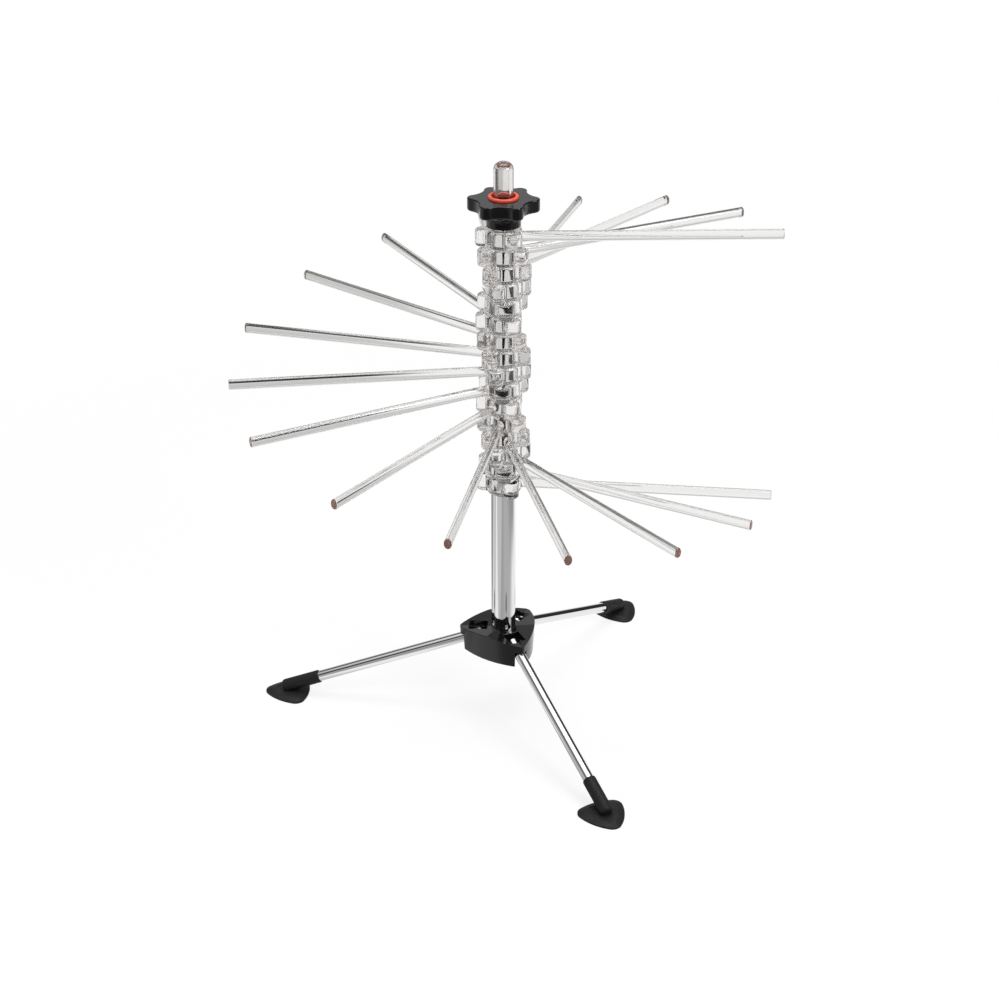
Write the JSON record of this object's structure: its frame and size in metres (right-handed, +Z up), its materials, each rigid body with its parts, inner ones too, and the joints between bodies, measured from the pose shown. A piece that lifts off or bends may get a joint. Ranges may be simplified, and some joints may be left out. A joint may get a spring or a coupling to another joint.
{
  "type": "pasta drying rack",
  "caption": "Table-top pasta drying rack: post on a folding tripod, clear arms fanned round it in a spiral, star knob that clamps them, and a clear wand kept in the post.",
  "frame": {"origin": "on the floor under the post's axis, with the rack standing on its three feet", "axes": "+Z up along the post; one leg points along -X, and the others 120 degrees either side of it"},
  "size_m": [0.429, 0.4281, 0.4797],
  "materials": {
    "clear_plastic": "clear, polished",
    "black_plastic": "moulded, gloss",
    "orange_plastic": "moulded, gloss",
    "white_plastic": "moulded",
    "black_rubber": "matt",
    "satin_aluminium": "satin, drawn lengthwise",
    "chromed_steel": "bright chrome plate",
    "zinc_steel": "zinc plated"
  },
  "bodies": {
    "stand": {"hub": "black_plastic", "post_tube": "satin_aluminium", "post_plug": "white_plastic", "base_screw": "zinc_steel", "stop_ring": "zinc_steel", "leg_pin_1": "zinc_steel", "leg_pin_2": "zinc_steel", "leg_pin_3": "zinc_steel"},
    "leg_1": {"leg_rod_1": "chromed_steel", "foot_1": "black_rubber"},
    "leg_2": {"leg_rod_2": "chromed_steel", "foot_2": "black_rubber"},
    "leg_3": {"leg_rod_3": "chromed_steel", "foot_3": "black_rubber"},
    "arm_01": {"arm_01": "clear_plastic"},
    "arm_02": {"arm_02": "clear_plastic"},
    "arm_03": {"arm_03": "clear_plastic"},
    "arm_04": {"arm_04": "clear_plastic"},
    "arm_05": {"arm_05": "clear_plastic"},
    "arm_06": {"arm_06": "clear_plastic"},
    "arm_07": {"arm_07": "clear_plastic"},
    "arm_08": {"arm_08": "clear_plastic"},
    "arm_09": {"arm_09": "clear_plastic"},
    "arm_10": {"arm_10": "clear_plastic"},
    "arm_11": {"arm_11": "clear_plastic"},
    "arm_12": {"arm_12": "clear_plastic"},
    "arm_13": {"arm_13": "clear_plastic"},
    "arm_14": {"arm_14": "clear_plastic"},
    "arm_15": {"arm_15": "clear_plastic"},
    "arm_16": {"arm_16": "clear_plastic"},
    "clamp": {"clamp_washer": "clear_plastic"},
    "knob": {"knob": "black_plastic", "knob_ring": "orange_plastic"},
    "wand": {"wand": "clear_plastic"}
  },
  "joints": [
    {"name": "leg_fold_1", "type": "hinge", "parent": "stand", "child": "leg_1", "pos_m": [0.011, 0.01905, 0.0667], "axis": [-0.866, 0.5, 0], "range_deg": [0, 68]},
    {"name": "leg_fold_2", "type": "hinge", "parent": "stand", "child": "leg_2", "pos_m": [-0.022, 0, 0.0667], "axis": [0, -1, 0], "range_deg": [0, 68]},
    {"name": "leg_fold_3", "type": "hinge", "parent": "stand", "child": "leg_3", "pos_m": [0.011, -0.01905, 0.0667], "axis": [0.866, 0.5, 0], "range_deg": [0, 68]},
    {"name": "arm_swing_01", "type": "hinge", "parent": "stand", "child": "arm_01", "pos_m": [0, 0, 0.42035], "axis": [0, 0, 1], "continuous": true},
    {"name": "arm_swing_02", "type": "hinge", "parent": "stand", "child": "arm_02", "pos_m": [0, 0, 0.40635], "axis": [0, 0, 1], "continuous": true},
    {"name": "arm_swing_03", "type": "hinge", "parent": "stand", "child": "arm_03", "pos_m": [0, 0, 0.39235], "axis": [0, 0, 1], "continuous": true},
    {"name": "arm_swing_04", "type": "hinge", "parent": "stand", "child": "arm_04", "pos_m": [0, 0, 0.37835], "axis": [0, 0, 1], "continuous": true},
    {"name": "arm_swing_05", "type": "hinge", "parent": "stand", "child": "arm_05", "pos_m": [0, 0, 0.36435], "axis": [0, 0, 1], "continuous": true},
    {"name": "arm_swing_06", "type": "hinge", "parent": "stand", "child": "arm_06", "pos_m": [0, 0, 0.35035], "axis": [0, 0, 1], "continuous": true},
    {"name": "arm_swing_07", "type": "hinge", "parent": "stand", "child": "arm_07", "pos_m": [0, 0, 0.33635], "axis": [0, 0, 1], "continuous": true},
    {"name": "arm_swing_08", "type": "hinge", "parent": "stand", "child": "arm_08", "pos_m": [0, 0, 0.32235], "axis": [0, 0, 1], "continuous": true},
    {"name": "arm_swing_09", "type": "hinge", "parent": "stand", "child": "arm_09", "pos_m": [0, 0, 0.30835], "axis": [0, 0, 1], "continuous": true},
    {"name": "arm_swing_10", "type": "hinge", "parent": "stand", "child": "arm_10", "pos_m": [0, 0, 0.29435], "axis": [0, 0, 1], "continuous": true},
    {"name": "arm_swing_11", "type": "hinge", "parent": "stand", "child": "arm_11", "pos_m": [0, 0, 0.28035], "axis": [0, 0, 1], "continuous": true},
    {"name": "arm_swing_12", "type": "hinge", "parent": "stand", "child": "arm_12", "pos_m": [0, 0, 0.26635], "axis": [0, 0, 1], "continuous": true},
    {"name": "arm_swing_13", "type": "hinge", "parent": "stand", "child": "arm_13", "pos_m": [0, 0, 0.25235], "axis": [0, 0, 1], "continuous": true},
    {"name": "arm_swing_14", "type": "hinge", "parent": "stand", "child": "arm_14", "pos_m": [0, 0, 0.23835], "axis": [0, 0, 1], "continuous": true},
    {"name": "arm_swing_15", "type": "hinge", "parent": "stand", "child": "arm_15", "pos_m": [0, 0, 0.22435], "axis": [0, 0, 1], "continuous": true},
    {"name": "arm_swing_16", "type": "hinge", "parent": "stand", "child": "arm_16", "pos_m": [0, 0, 0.21035], "axis": [0, 0, 1], "continuous": true},
    {"name": "clamp_lift", "type": "slide", "parent": "stand", "child": "clamp", "axis": [0, 0, 1], "range_m": [0, 0.002]},
    {"name": "knob_turn", "type": "hinge", "parent": "clamp", "child": "knob", "pos_m": [0, 0, 0.44], "axis": [0, 0, 1], "range_deg": [0, 360]},
    {"name": "wand_lift", "type": "slide", "parent": "stand", "child": "wand", "axis": [0, 0, 1], "range_m": [0, 0.38]}
  ],
  "couplings": [
    {"joint": "clamp_lift", "follows": "knob_turn", "m_per_rad": 0.00031831}
  ]
}
